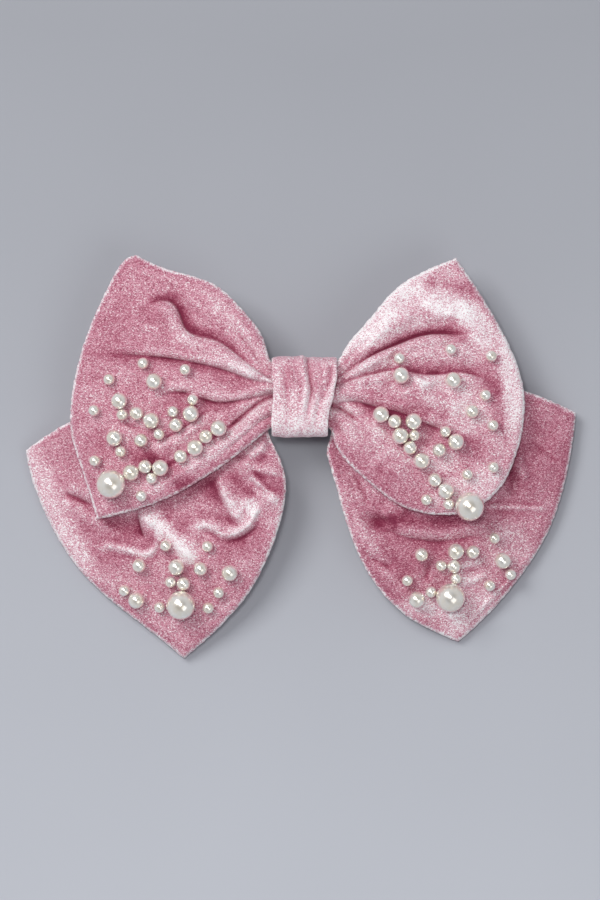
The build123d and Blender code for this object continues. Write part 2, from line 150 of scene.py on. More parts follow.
LEFT_TAIL_CREASES = [
    ([(-84, -12), (-77, -14.5), (-71, -17.5)], 1.8, 1.6, 2.2, 0.8, 0.3, 0.0),
    ([(-56.9, -17), (-55.6, -24), (-53.8, -29)], 2.0, 1.0, 4.0, 1.0, 0.0, 0.0),
    ([(-45, -33), (-41, -37), (-35, -39)], 1.4, 1.6, 3.0, 0.4, 0.0, 0.0),
    ([(-28, -29.5), (-20, -27.5), (-13, -22)], 1.0, 1.2, 3.0, 0.4, 0.0, 0.0),
    ([(-20, -6), (-14, -11), (-8, -14)], 1.4, 2.0, 2.0, 0.3, 0.3, 0.0),
    ([(-12.4, 7), (-10.8, 4.5), (-9.6, 2)], 2.2, 1.4, 1.6, 0.6, 0.6, 0.0),
    ([(-66, -47), (-61.5, -50.7), (-51.3, -58.7), (-40.2, -67.2)], 0.7, 0.4, 0.4, 0.2, 0.2, 0.0),
]
RIGHT_TAIL_CREASES = [
    ([(24, -21.5), (28.4, -24.5), (35.4, -27.7), (41.7, -28.9), (49.4, -29.3), (55.8, -28.3), (62.2, -27),
      (66.5, -24)], 1.3, 1.6, 2.8, 0.8, 0.0, 0.0),
    ([(20, -32), (27, -36.5), (33, -39)], 1.6, 2.4, 2.4, 0.4, 0.4, 0.0),
    ([(44.2, -35), (43.8, -39), (43, -43.5)], 1.2, 1.8, 1.8, 0.4, 0.4, 0.0),
    ([(78, 7), (84, 2), (90, -2)], 0.5, 1.6, 2.4, 0.5, 0.2, 0.0),
    ([(71, 0), (72.5, -7), (72, -15)], 0.8, 2.0, 3.0, 0.3, 0.2, 0.0),
    ([(17, -3), (21, -11), (24, -18)], 1.2, 1.6, 2.0, 0.3, 0.3, 0.0),
    ([(76, -39.5), (73.6, -42.4), (63.2, -53.8), (55, -61.2)], 0.7, 0.4, 0.4, 0.2, 0.2, 0.0),
]

# Crests: (points, height, width to the left of travel, width to the right).
LEFT_WING_CRESTS = [
    ([(-12, 15), (-20, 8), (-32, -1), (-45, -8), (-60, -14)], 1.0, 4.2, 4.2),
    ([(-42, 62.2), (-50, 63), (-57, 64.2)], 0.5, 1.0, 1.0),
    ([(-12, 34), (-20, 43), (-32, 52), (-42, 58)], 1.2, 5.0, 5.0),
    ([(-12, 26.6), (-22, 31), (-34, 36.5), (-48, 40)], 1.0, 3.0, 3.0),
]
RIGHT_WING_CRESTS = [
    ([(12, 30), (22, 38), (34, 47), (46, 50), (57, 47.5), (64, 41)], 1.3, 4.4, 3.4),
    ([(12, 25.8), (22, 30.3), (34, 34), (50, 36), (62, 33)], 1.0, 3.2, 3.2),
    ([(12, 21), (24, 23.5), (38, 21.5), (52, 18), (62, 13)], 1.2, 4.0, 4.0),
    ([(12, 12), (20, 6), (30, -1), (38, -8)], 1.0, 5.0, 5.0),
    ([(38, 28), (42, 25.5), (46, 24)], 0.9, 1.0, 1.6),
]
LEFT_TAIL_CRESTS = [
    ([(-82, -13.9), (-71, -21.5), (-60, -28.4)], 0.8, 0.9, 2.4),
    ([(-70.5, -32.9), (-67.2, -30.9), (-61.9, -31.6), (-57.3, -32.9), (-53.4, -33.6), (-50.1, -30.9),
      (-49.1, -27.6), (-50.7, -24.5)], 1.6, 1.2, 1.3),
    ([(-54.7, -19), (-51.4, -22.4), (-47.4, -25.7), (-43.5, -29.6), (-40.2, -33.6), (-37, -38)],
     2.0, 3.2, 1.9),
    ([(-37.5, -26.8), (-34.9, -24), (-30.9, -24.3), (-27, -26.6), (-23, -26.3), (-19.1, -24.3),
      (-15.8, -20.4), (-14.6, -16)], 1.8, 2.2, 1.1),
    ([(-29, -5), (-27, -11.8), (-24.6, -16.6), (-22.4, -20.6), (-19, -22)], 2.0, 3.6, 1.1),
    ([(-24.5, -1), (-20.4, -3.2), (-17.1, -6.5), (-13.1, -10.5), (-9.2, -13.8), (-4.6, -17.4)],
     1.7, 1.0, 2.4),
    ([(-11.5, 7.5), (-13.5, 3), (-18.7, 0)], 1.6, 1.3, 1.8),
    ([(-21.7, 0), (-17.7, -3.2), (-12.5, -4.9), (-5, -5.9)], 1.5, 2.4, 1.0),
    ([(-19, -13), (-17.5, -17.5), (-14.5, -20.5)], 1.1, 2.2, 2.6),
]
RIGHT_TAIL_CRESTS = [
    ([(62, -17.3), (76.2, -17.5), (87, -18.2)], 0.9, 0.8, 0.8),
    ([(75.5, 1), (76.5, -4), (78.4, -8)], 0.8, 1.0, 1.6),
    ([(28, -21), (32, -18.5), (36, -19.5)], 0.9, 2.4, 2.4),
    ([(54, -38), (59, -37), (64, -35)], 0.9, 1.6, 1.0),
    ([(55, -43.6), (60, -42.6), (65, -40.4)], 0.9, 1.6, 1.2),
    ([(38, -52.3), (43, -51.5), (47, -52.5)], 0.9, 1.6, 1.6),
    ([(17, -16), (22, -27), (30, -41), (38, -51)], 1.0, 3.0, 3.0),
    ([(80, -33), (73, -41.5), (64, -50.5), (57, -57.5)], 0.8, 1.2, 0.6),
]

# Hollows in the cloth: (x, y, half length, half width, bearing in degrees, depth).
LEFT_WING_HOLLOWS = [(-41, 17.5, 9, 3, 15, 1.2), (-48, 48, 4, 3, 60, -0.8), (-41, 51.5, 6, 2.6, -58, 1.0)]
RIGHT_WING_HOLLOWS = [(44, 5, 9, 4, -30, 1.0), (66, 18, 5, 5, 0, -0.8)]
LEFT_TAIL_HOLLOWS = [(-60.5, -23.5, 6, 3.4, -25, 1.5), (-40, -14, 9, 6, 20, 1.4), (-17, -12, 5, 3, -40, 0.7)]
RIGHT_TAIL_HOLLOWS = [(25.8, -22, 4, 2, -10, 2.0), (71, -9, 4, 7, 0, 1.0), (83, 6, 6, 6, 0, 0.6)]

# Patches of painted sheen and painted shade on the crushed pile: (x, y, half length, half width, bearing in
# degrees, how much lighter the velvet is painted there).
LEFT_WING_PAINTED_SHEEN_AND_SHADE = [
    (-62, 45, 8, 10, 0, -0.10), (-32, 50, 9, 3.4, -42, -0.17), (-50, 50, 5, 4, 0, -0.12),
    (-46.5, 54.6, 6, 1.9, 8, -0.14), (-40.2, 48.6, 6, 2.2, -58, -0.16), (-33, 43, 5, 1.5, -20, -0.10),
    (-41, 44, 6, 3, -40, 0.10), (-52, 36, 16, 3, 3, -0.12), (-38, 37.5, 7, 2.5, -12, -0.10),
    (-12, 34, 5, 4, 0, 0.18), (-47, 11, 18, 5, -25, 0.04), (-47, 17, 5, 2.5, 10, -0.12),
    (-70, 4, 5, 5, 0, -0.10), (-16, 18, 7, 2.6, 36, 0.18), (-46, -5, 12, 3.6, -30, -0.28),
]
RIGHT_WING_PAINTED_SHEEN_AND_SHADE = [
    (27, 50.5, 22, 5.4, 44, 0.52), (48, 54, 12, 4.5, -14, 0.38), (62, 44, 10, 4.5, -50, 0.36),
    (51, 64, 9, 4, 0, 0.22), (73, 28, 4, 22, 4, 0.46), (68, 18, 2.6, 8, 0, -0.12), (58, 15, 7, 6, -15, 0.22),
    (51, 25, 11, 3.2, -10, 0.26), (60, -11, 14, 7, 14, 0.36), (50, -14, 13, 4, 6, -0.06),
    (60, 36.5, 4, 4, 0, 0.20), (45, 46, 7, 3, 10, 0.10), (33, 42, 9, 2.4, 24, 0.15), (14, 32, 4, 4, 0, 0.12),
    (26, 31, 10, 3, 10, 0.20), (13, 17, 4, 3, 0, 0.20), (24, 13, 10, 3, -36, 0.26), (45, 8, 5, 3, -20, 0.12),
    (47, -1, 8, 4, -10, 0.28), (31, -4, 4, 4, 0, -0.14), (25, 0, 9, 6, -40, -0.06),
    (30, 18, 14, 4, -10, -0.14), (61, 4, 6, 2, -30, -0.08), (66, 4, 4, 5, 0, 0.12),
    (41, 17, 10, 3, -20, -0.06), (66, 24, 4, 2.4, -40, -0.16),
]
LEFT_TAIL_PAINTED_SHEEN_AND_SHADE = [
    (-87, -14, 24, 4.6, -63, 0.22), (-77, -33, 12, 3, -50, 0.14), (-69, -38, 5, 3.5, 0, -0.08),
    (-80, 0, 9, 6, -25, -0.04), (-17, -3, 7, 4, -20, -0.14), (-17, -17.5, 5, 3.4, 30, 0.34),
    (-10.5, -9, 7, 3, -40, -0.16), (-28, -11, 5, 5, 10, -0.26), (-34, -9, 6, 2.6, 36, -0.14),
    (-26, -15, 5, 2.6, -70, 0.10), (-36, -29, 4, 6, -10, 0.20), (-42, -14, 12, 6, 10, -0.06),
    (-50, -23, 5, 2.6, -45, 0.06), (-46, -27, 9, 3, -45, 0.18), (-39.5, -35, 4, 3, -45, 0.16),
    (-62, -25, 9, 3.4, -24, -0.12), (-72, -21, 8, 4, -40, -0.06), (-62, -36, 12, 4, -20, -0.06),
    (-22, -32, 9, 4, 20, -0.12), (-7.5, -28, 13, 2.6, 72, 0.26), (-9, -20, 3, 8, 0, 0.08),
    (-40, -58, 16, 7, 0, -0.03), (-28, -45, 8, 6, 0, -0.06),
]
RIGHT_TAIL_PAINTED_SHEEN_AND_SHADE = [
    (82, 2, 12, 14, 0, -0.07), (80, -20, 8, 8, 40, 0.05), (75, -8, 4, 10, 20, -0.08),
    (26, -13, 7, 7, -50, 0.08), (15, -18, 22, 3.2, -66, 0.14), (21, -29, 3, 5, 0, -0.08),
    (34, -20, 5, 3, 0, -0.18), (30, -23, 5, 3, 0, -0.18), (45, -20, 26, 5, 0, -0.06),
    (48, -22.5, 12, 2.4, 4, -0.14), (60, -26, 14, 4, 10, 0.02), (73, -32, 6, 9, 30, 0.20),
    (28, -36, 9, 5, -30, -0.06), (34, -45, 3, 7, 30, -0.10), (60, -37, 10, 5, 15, 0.14),
    (57, -44, 7, 3, 20, 0.24), (44, -52, 9, 4, -10, 0.34), (60, -53, 12, 5, 40, 0.30),
    (52, -60, 8, 4, 0, 0.14),
]


# How a crease and a crest are shaped, and the light and shade painted into the pile along them.
LINE_POINTS = 240  # points along the line of a fold
LINE_WIDTH = 0.6  # the sharp line at the bottom of a crease
LINE_SHARE = 0.25  # that line's share of the depth: the rest is a softer pocket
ROLL_AT = 1.9  # the rolled side stands this many widths away from the line
ROLL_SPREAD = 1.3
LIP_AT = 0.8  # the turned lip that catches the light
LIP_SPREAD = 0.35
LEAN_AT = 1.1
# Painted light and shade in the pile along folds: light on rolls, lips and crest tops, shade in creases and
# feet.
ROLL_PAINTED_LIGHT = 0.10
LIP_PAINTED_HIGHLIGHT = 0.15
CREASE_PAINTED_SHADE = 0.09
CREST_UNEVEN = 0.25
CREST_PAINTED_HIGHLIGHT = 0.17
FOOT_PAINTED_SHADE = 0.08

# Unevenness, as (amount, how far apart the bumps are, number of the noise).
BROAD_SLACK = (0.5, 13, 1)
SMALL_SLACK = (0.26, 6, 2)
FINE_SLACK = (0.12, 2.6, 3)
EDGE_WAVE = (0.2, 4.5, 4)
BROAD_TONE = (0.05, 9, 5)
SMALL_TONE = (0.035, 3.4, 6)
BACK_TONE = (0.12, 8, 7)
FRAY_ALONG_X = (0.16, 0.9, 8)
FRAY_ALONG_Y = (0.16, 0.9, 9)
BACK_SLACK = (0.35, 9, 10)
RIM_SPARKLE = (1.1, 0.55, 11)

# Painted light in the pile: higher cloth lighter, a sheen on the frayed rim, shade in a shallow groove
# inside the seam.
LIFT_PAINTED_LIGHT = 0.10
RIM_PAINTED_SHEEN = 0.52
SPARKLE_MIDDLE = 0.85
RIM_LIGHT_FROM, RIM_LIGHT_TO = 0.3, 1.05
SEAM_PAINTED_SHADE = 0.05
SEAM_AT, SEAM_WIDTH = 1.9, 0.7


def spline(points, count):
    """Evenly spaced points on a smooth curve through a few points (a natural cubic spline)."""
    p = np.array(points, float)
    if len(p) == 2:
        return p[0] + (p[1] - p[0]) * np.linspace(0, 1, count)[:, None]
    t = np.concatenate([[0], np.cumsum(np.linalg.norm(np.diff(p, axis=0), axis=1) ** 0.5)])
    h = np.diff(t)
    n = len(p)
    a = np.eye(n)
    b = np.zeros_like(p)
    for i in range(1, n - 1):
        a[i, i - 1:i + 2] = h[i - 1], 2 * (h[i - 1] + h[i]), h[i]
        b[i] = 3 * ((p[i + 1] - p[i]) / h[i] - (p[i] - p[i - 1]) / h[i - 1])
    c = np.linalg.solve(a, b)
    fine = np.linspace(0, t[-1], 12 * count)
    k = np.clip(np.searchsorted(t, fine, side="right") - 1, 0, n - 2)
    d = (fine - t[k])[:, None]
    slope = (p[k + 1] - p[k]) / h[k, None] - h[k, None] * (2 * c[k] + c[k + 1]) / 3
    line = p[k] + d * (slope + d * (c[k] + d * (c[k + 1] - c[k]) / (3 * h[k, None])))
    along = np.concatenate([[0], np.cumsum(np.linalg.norm(np.diff(line, axis=0), axis=1))])
    even = np.linspace(0, along[-1], count)
    return np.stack([np.interp(even, along, line[:, axis]) for axis in (0, 1)], axis=1)


def at_shares(line, shares):
    """The points of an even line at shares of its length."""
    even = np.linspace(0, 1, len(line))
    return np.stack([np.interp(shares, even, line[:, axis]) for axis in (0, 1)], axis=1)


def smooth_step(low, high, value):
    t = np.clip((value - low) / (high - low), 0, 1)
    return t * t * (3 - 2 * t)


def wander(x, y, size, seed):
    """Smooth noise from -1 to 1, with bumps about size millimetres apart."""
    lattice = np.random.default_rng(seed).uniform(-1, 1, (64, 64))
    gx, gy = x / size + 1000, y / size + 1000
    ix, iy = np.floor(gx).astype(int), np.floor(gy).astype(int)
    fx, fy = smooth_step(0, 1, gx - ix), smooth_step(0, 1, gy - iy)
    corner = [[lattice[(ix + a) % 64, (iy + b) % 64] for b in (0, 1)] for a in (0, 1)]
    low = corner[0][0] * (1 - fx) + corner[1][0] * fx
    high = corner[0][1] * (1 - fx) + corner[1][1] * fx
    return low * (1 - fy) + high * fy


def beside(x, y, points):
    """For each place, against a smooth line: the share of the line at its nearest point, its signed distance
    (positive on the left) and the line's normal there."""
    line = spline(points, LINE_POINTS)
    tangent = np.gradient(line, axis=0)
    tangent /= np.linalg.norm(tangent, axis=1)[:, None]
    step = np.linalg.norm(line[1] - line[0])
    places = np.stack([x.ravel(), y.ravel()], axis=1)
    nearest = ((line ** 2).sum(axis=1) - 2 * places @ line.T).argmin(axis=1)
    away = places - line[nearest]
    t = tangent[nearest]
    side = t[:, 0] * away[:, 1] - t[:, 1] * away[:, 0]
    beyond = np.maximum(np.abs((t * away).sum(axis=1)) - step, 0)
    distance = np.where(side < 0, -1, 1) * np.hypot(side, beyond)
    share = nearest / (LINE_POINTS - 1)
    return [value.reshape(x.shape) for value in (share, distance, -t[:, 1], t[:, 0])]


def crease(x, y, spec):
    """A crease: its height, its painted shade and light, and how far its rolled sides lean over it along x
    and along y.
    """
    points, depth, left_width, right_width, left_ridge, right_ridge, start = spec
    t, s, normal_x, normal_y = beside(x, y, points)
    width = np.where(s > 0, left_width, right_width)
    ridge = np.where(s > 0, left_ridge, right_ridge)
    gap = np.abs(s)
    strength = (1 - smooth_step(0.7, 1, t)) * (start + (1 - start) * smooth_step(0, 0.4, t))
    line = np.exp(-(gap / LINE_WIDTH) ** 1.5)
    pocket = np.exp(-(gap / width) ** 1.3)
    roll = np.exp(-((gap - ROLL_AT * width) / (ROLL_SPREAD * width)) ** 2)
    lip = np.exp(-((gap / width - LIP_AT) / LIP_SPREAD) ** 2)
    height = ridge * roll - depth * (LINE_SHARE * line + (1 - LINE_SHARE) * pocket)
    # Painted light on the roll and lip, and painted shade in the crease.
    light = ridge * (ROLL_PAINTED_LIGHT * roll + LIP_PAINTED_HIGHLIGHT * lip)
    dark = CREASE_PAINTED_SHADE * depth * (0.5 * line + 0.8 * pocket)
    bulge = smooth_step(0, 0.8 * width, gap) * np.exp(-((gap / width - LEAN_AT) / LEAN_AT) ** 2)
    lean = -np.sign(s) * OVERHANG * ridge * bulge
    return strength * np.stack([height, light - dark, lean * normal_x, lean * normal_y])


def crest(x, y, spec):
    """A raised fold in the same terms as a crease, uneven along its length, with painted light and shade."""
    points, height, left_width, right_width = spec
    t, s, _, _ = beside(x, y, points)
    width = np.where(s > 0, left_width, right_width) * (1 + CREST_UNEVEN * wander(x, y, 3.5, 71))
    ends = smooth_step(0, 0.2, t) * (1 - smooth_step(0.8, 1, t))
    strength = ends * (1 + CREST_UNEVEN * wander(x, y, 2.6, 72))
    top = np.exp(-np.abs(s / width) ** 1.6)
    foot = np.exp(-((np.abs(s) / width - 1.9) / 0.8) ** 2)
    # Painted highlight along the top, painted shade at the feet.
    shade = CREST_PAINTED_HIGHLIGHT * top * (1 + 0.4 * wander(x, y, 1.6, 73)) - FOOT_PAINTED_SHADE * foot
    no_lean = np.zeros_like(s)
    return strength * height * np.stack([top, shade, no_lean, no_lean])


def own_axes(x, y, spec):
    """Each place along and across an elliptical patch, in its half lengths and half widths."""
    middle_x, middle_y, half_length, half_width, bearing, _ = spec
    turn = math.radians(bearing)
    along = (x - middle_x) * math.cos(turn) + (y - middle_y) * math.sin(turn)
    across = (y - middle_y) * math.cos(turn) - (x - middle_x) * math.sin(turn)
    return along / half_length, across / half_width


def spot(x, y, spec):
    """A soft elliptical patch: its share at each place, times its last value."""
    along, across = own_axes(x, y, spec)
    return spec[-1] * np.exp(-along ** 2 - across ** 2)


def painted_sheen_or_shade(x, y, spec):
    """A patch of painted sheen or painted shade: like a spot, with a firmer, ragged edge."""
    out = np.hypot(*own_axes(x, y, spec))
    out = out + 0.16 * wander(x, y, 3.2, 81) + 0.10 * wander(x, y, 1.1, 82)
    return spec[-1] * (1 - smooth_step(0.55, 1.5, out))


def noise(x, y, spec, seed):
    amount, size, number = spec
    return amount * wander(x, y, size, seed + number)


def blurred(field, passes):
    """A grid of values, smoothed a little on each pass."""
    for _ in range(passes):
        padded = np.pad(field, 1, mode="edge")
        field = (padded[:-2, 1:-1] + padded[2:, 1:-1] + padded[1:-1, :-2] + padded[1:-1, 2:] + 4 * field) / 8
    return field


def loose_balls(node):
    """(x, y, z, r) of every pearl in a node, in millimetres."""
    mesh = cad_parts[node].data
    co = np.zeros(len(mesh.vertices) * 3)
    mesh.vertices.foreach_get("co", co)
    co = co.reshape(-1, 3) / MM
    _, same = np.unique(co.round(3), axis=0, return_inverse=True)
    same = same.ravel()
    edges = np.zeros(len(mesh.edges) * 2, int)
    mesh.edges.foreach_get("vertices", edges)
    a, b = same[edges].reshape(-1, 2).T
    # Each point takes the lowest number among its neighbours until every ball has one number.
    label = np.arange(same.max() + 1)
    settled = False
    while not settled:
        lower = label.copy()
        np.minimum.at(lower, a, label[b])
        np.minimum.at(lower, b, label[a])
        lower = lower[lower]
        settled = (lower == label).all()
        label = lower
    balls = []
    for ball in np.unique(label):
        points = co[label[same] == ball]
        low, high = points.min(axis=0), points.max(axis=0)
        balls.append([*((low + high) / 2), (high - low).max() / 2])
    return balls


def pearls_of(panel_name):
    nodes = [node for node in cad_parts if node.startswith("pearls_" + panel_name)]
    return [ball for node in nodes for ball in loose_balls(node)]


def ball_height(x, y, top, radius):
    """The height of the ball that a layer of the bow lies on."""
    return top - radius + np.sqrt(radius ** 2 - (x - CLIP_X) ** 2 - (y - CLIP_Y) ** 2)


def patch(outline):
    """A grid of plan places (rows out from the knot, columns from foot to top) that fills an outline."""
    crowd = np.linspace(0, 1, ROWS)
    u = (1 - EDGE_CROWDING) * crowd + EDGE_CROWDING * np.sin(crowd * math.pi / 2)
    crowd = np.linspace(0, 1, COLUMNS)
    v = (1 - EDGE_CROWDING) * crowd + EDGE_CROWDING * (1 - np.cos(crowd * math.pi)) / 2
    foot, top = [at_shares(spline(outline[run], RUN_POINTS), u)[:, None] for run in ("foot", "top")]
    side = at_shares(spline(outline["side"], RUN_POINTS), v)[None]
    if np.linalg.norm(side[0, 0] - foot[-1, 0]) > np.linalg.norm(side[0, -1] - foot[-1, 0]):
        side = side[:, ::-1]
    knot = at_shares(np.array([foot[0, 0], top[0, 0]]), v)[None]
    u, v = u[:, None, None], v[None, :, None]
    corners = ((1 - u) * (1 - v) * foot[0, 0] + (1 - u) * v * top[0, 0] + u * (1 - v) * foot[-1, 0]
               + u * v * top[-1, 0])
    grid = (1 - v) * foot + v * top + (1 - u) * knot + u * side - corners
    return grid[..., 0], grid[..., 1]


def edge_distance(x, y, outline):
    return np.min([np.abs(beside(x, y, outline[run])[1]) for run in ("foot", "side", "top")], axis=0)


def knot_pleats(x, y, seed):
    """Fine gathers that leave the knot and die away over the first part of the panel."""
    out = np.hypot(x - CLIP_X, y - CLIP_Y)
    bearing = np.degrees(np.arctan2(y - CLIP_Y, np.abs(x - CLIP_X) + 14))
    phase = bearing / 4.4 + 0.9 * wander(bearing, out, 9, seed)
    fade = 1 - smooth_step(12, 30, out)
    return 0.5 * fade * (np.abs(np.sin(phase * math.pi / 2)) - 0.6)


def fit_to_pearls(x, y, above, surface, pearls):
    """Brings the cloth up or down to meet each pearl, so that it sits in a small dimple."""
    for px, py, pz, r in pearls:
        across = np.hypot(x - px, y - py)
        near = 1 - smooth_step(0.7 * r, 2.3 * r, across)
        under = pz - np.sqrt(np.maximum(r ** 2 - across ** 2, 0)) - surface
        settled = np.minimum(np.maximum(above, -0.05), 0.35)
        above = above + near * (settled - above)
        above = np.where(across < r, np.minimum(above, under - PEARL_SINK), above)
    return above


def build_mesh(name, grids, wrap=False):
    """One closed mesh from a front grid and a back grid, (x, y, z) in millimetres, joined at their edges."""
    front, back = [np.stack(grid, axis=-1).reshape(-1, 3) for grid in grids]
    rows, columns = grids[0][0].shape
    index = np.arange(rows * columns).reshape(rows, columns)
    behind = index + rows * columns
    rim = np.zeros((rows, columns), bool)
    rim[:, [0, -1]] = True
    if not wrap:
        rim[[0, -1]] = True
    behind = np.where(rim, index, behind)
    used = np.concatenate([front, back])
    keep = np.zeros(len(used), bool)
    keep[index] = True
    keep[behind] = True
    renumber = np.cumsum(keep) - 1

    def quads(ids, flip):
        if wrap:
            ids = np.concatenate([ids, ids[:1]])
        a, b, c, d = ids[:-1, :-1], ids[1:, :-1], ids[1:, 1:], ids[:-1, 1:]
        order = (a, d, c, b) if flip else (a, b, c, d)
        return np.stack(order, axis=-1).reshape(-1, 4)

    faces = renumber[np.concatenate([quads(index, False), quads(behind, True)])]
    mesh = bpy.data.meshes.new(name)
    mesh.from_pydata((used[keep] * MM).tolist(), [], faces.tolist())
    mesh.validate()
    mesh.update()
    mesh.polygons.foreach_set("use_smooth", [True] * len(mesh.polygons))
    piece = bpy.data.objects.new(name, mesh)
    bpy.context.scene.collection.objects.link(piece)
    return piece, keep


def vertex_places(mesh):
    co = np.empty(len(mesh.vertices) * 3, np.float32)
    mesh.vertices.foreach_get("co", co)
    return co.reshape(-1, 3)


def outward(piece):
    """Turns the faces to point out of the closed mesh."""
    mesh = piece.data
    mesh.calc_loop_triangles()
    triangles = np.empty(len(mesh.loop_triangles) * 3, np.int32)
    mesh.loop_triangles.foreach_get("vertices", triangles)
    a, b, c = vertex_places(mesh)[triangles.reshape(-1, 3)].transpose(1, 0, 2)
    if (a * np.cross(b, c)).sum() < 0:
        mesh.flip_normals()


def store(piece, name, values):
    attribute = piece.data.attributes.new(name, "FLOAT", "POINT")
    attribute.data.foreach_set("value", np.asarray(values, np.float32))


def cloth_heights(x, y, edge, folded, layout, seed):
    """How far the cloth stands above its ball: folds, gathers and slack, calmer near the edge."""
    calm = smooth_step(0, RIM_CALM, edge)
    above = folded + knot_pleats(x, y, seed) - sum(spot(x, y, spec) for spec in layout["hollows"])
    above = above + noise(x, y, BROAD_SLACK, seed) + noise(x, y, SMALL_SLACK, seed)
    above = above * (0.25 + 0.75 * calm) + noise(x, y, FINE_SLACK, seed)
    above = above + (1 - smooth_step(0, 4, edge)) * noise(x, y, EDGE_WAVE, seed)
    return np.minimum(blurred(above, 1), layout["ceiling"](x, y))


def two_faces(x, y, edge, above, surface, seed):
    """The heights of the face and the back of a filled panel, brought together at its rim."""
    fullness = np.sqrt(np.clip(1 - (1 - np.clip(edge / RIM_WIDTH, 0, 1)) ** 2, 0, 1))
    half = LAYER_THICKNESS / 2
    front = surface - half + above * (0.3 + 0.7 * fullness) + half * fullness
    slack = np.clip(blurred(above, 8), -2.2, 1.0) + noise(x, y, BACK_SLACK, seed) - BACK_SLACK[0]
    back = surface - half + above * 0.3 * (1 - fullness) + slack * 0.5 * fullness - half * fullness
    back = np.maximum(back, LOWEST)
    return np.maximum(front, back + THINNEST * fullness), back


def pile_with_painted_light(x, y, edge, above, shade, layout, seed):
    """How light the pile is on the face and the back of a panel, with painted light and shade on the face.
    """
    # Painted light on higher cloth, painted light and shade from the folds, painted sheen on the rim and
    # shade by the seam.
    lift = np.clip(above - blurred(above, 80), -1.5, 1.5)
    face = layout["light"] + LIFT_PAINTED_LIGHT * lift + shade * smooth_step(0, RIM_CALM, edge)
    sparkle = SPARKLE_MIDDLE + noise(x, y, RIM_SPARKLE, seed)
    face = face + RIM_PAINTED_SHEEN * sparkle * (1 - smooth_step(RIM_LIGHT_FROM, RIM_LIGHT_TO, edge))
    face = face - SEAM_PAINTED_SHADE * np.exp(-((edge - SEAM_AT) / SEAM_WIDTH) ** 2)
    # Patches of painted sheen and painted shade.
    face = face + sum(painted_sheen_or_shade(x, y, spec) for spec in layout["pile_tone_and_painted_light"])
    face = face + noise(x, y, BROAD_TONE, seed) + noise(x, y, SMALL_TONE, seed)
    back = np.full_like(face, layout["light"] - 0.05) + noise(x, y, BACK_TONE, seed)
    return face, back


def panel(name, layout):
    """One wing or tail: two cloths with a soft filling, folded, dimpled and rolled in at its seam."""
    seed = layout["seed"]
    x, y = patch(layout["outline"])
    edge = edge_distance(x, y, layout["outline"])
    folds = sum(crease(x, y, spec) for spec in layout["creases"])
    folds = folds + sum(crest(x, y, spec) for spec in layout["crests"])
    folded, shade, lean_x, lean_y = folds
    calm = smooth_step(0, RIM_CALM, edge)
    frayed = 1 - smooth_step(0, FRAY_WIDTH, edge)
    x = x + calm * lean_x + frayed * noise(x, y, FRAY_ALONG_X, seed)
    y = y + calm * lean_y + frayed * noise(x, y, FRAY_ALONG_Y, seed)
    surface = ball_height(x, y, *LAYERS[layout["layer"]])
    above = cloth_heights(x, y, edge, folded, layout, seed)
    above = fit_to_pearls(x, y, above, surface, pearls_of(name))
    front, back = two_faces(x, y, edge, above, surface, seed)
    piece, keep = build_mesh(name, [(x, y, front), (x, y, back)])
    pile_tone_and_painted_light = pile_with_painted_light(x, y, edge, above, shade, layout, seed)
    store(piece, "pile_tone_and_painted_light", np.concatenate([face.ravel() for face in pile_tone_and_painted_light])[keep])
    outward(piece)
    return piece


def srgb(red, green, blue):
    """A colour from 0 to 255, as the shader's linear colour."""
    def linear(value):
        share = value / 255
        return share / 12.92 if share <= 0.04045 else ((share + 0.055) / 1.055) ** 2.4
    return [linear(red), linear(green), linear(blue), 1.0]


def new_material(name):
    material = bpy.data.materials.new(name)
    material.use_nodes = True
    tree = material.node_tree
    return material, tree, tree.nodes["Principled BSDF"]


def add(tree, kind, **values):
    """A shader node with some of its settings and inputs."""
    node = tree.nodes.new(kind)
    for key, value in values.items():
        key = key.replace("_", " ") if key.replace("_", " ") in node.inputs else key
        if key in node.inputs:
            node.inputs[key].default_value = value
        else:
            setattr(node, key, value)
    return node


def math_node(tree, operation, first, second):
    node = tree.nodes.new("ShaderNodeMath")
    node.operation = operation
    for slot, value in enumerate((first, second)):
        if isinstance(value, (int, float)):
            node.inputs[slot].default_value = value
        else:
            tree.links.new(value, node.inputs[slot])
    return node.outputs[0]


def grain(tree, size, detail=2.0, distortion=0.0):
    """Noise whose bumps are about size millimetres apart, from 0 to 1."""
    place = tree.nodes.new("ShaderNodeTexCoord")
    bumps = add(tree, "ShaderNodeTexNoise", Scale=1 / (size * MM), Detail=detail, Distortion=distortion)
    tree.links.new(place.outputs["Object"], bumps.inputs["Vector"])
    return bumps.outputs["Fac"]


def swing(tree, value, middle, amount):
    """How far a value is from its middle, times an amount."""
    return math_node(tree, "MULTIPLY", math_node(tree, "SUBTRACT", value, middle), amount)


def colour_ramp(tree, factor, stops):
    ramp = tree.nodes.new("ShaderNodeValToRGB")
    elements = ramp.color_ramp.elements
    while len(elements) < len(stops):
        elements.new(0.5)
    for element, (position, colour) in zip(elements, stops):
        element.position = position
        element.color = colour
    tree.links.new(factor, ramp.inputs["Fac"])
    return ramp.outputs["Color"]


def grey(value):
    return (value, value, value, 1)


TUFT = 0.2  # a tuft of pile
RIB = 0.55  # the ribs of the ground cloth
CRUSH = 2.2  # the crushed marks
# Painted glints: most tufts are dull, and a few glint: the share of tufts below each brightness, and their
# mean.
GLINT_STOPS = [(0.0, grey(0)), (0.25, grey(0.25)), (0.7, grey(0.42)), (0.9, grey(0.72)), (1.0, grey(1))]
GLINT_MEAN = 0.38
GLINT_REACH = 0.28  # how much glints count on the darkest pile
GLINT_REACH_LIGHT = 1.35  # and how much more on lighter pile
CRUSH_TONE = 0.14
RIB_TONE = 0.25
VELVET_STOPS = [
    (0.0, srgb(124, 42, 68)),
    (0.2, srgb(165, 86, 109)),
    (0.42, srgb(206, 142, 160)),
    (0.64, srgb(222, 177, 190)),
    (0.82, srgb(246, 226, 233)),
    (1.0, srgb(255, 252, 253)),
]


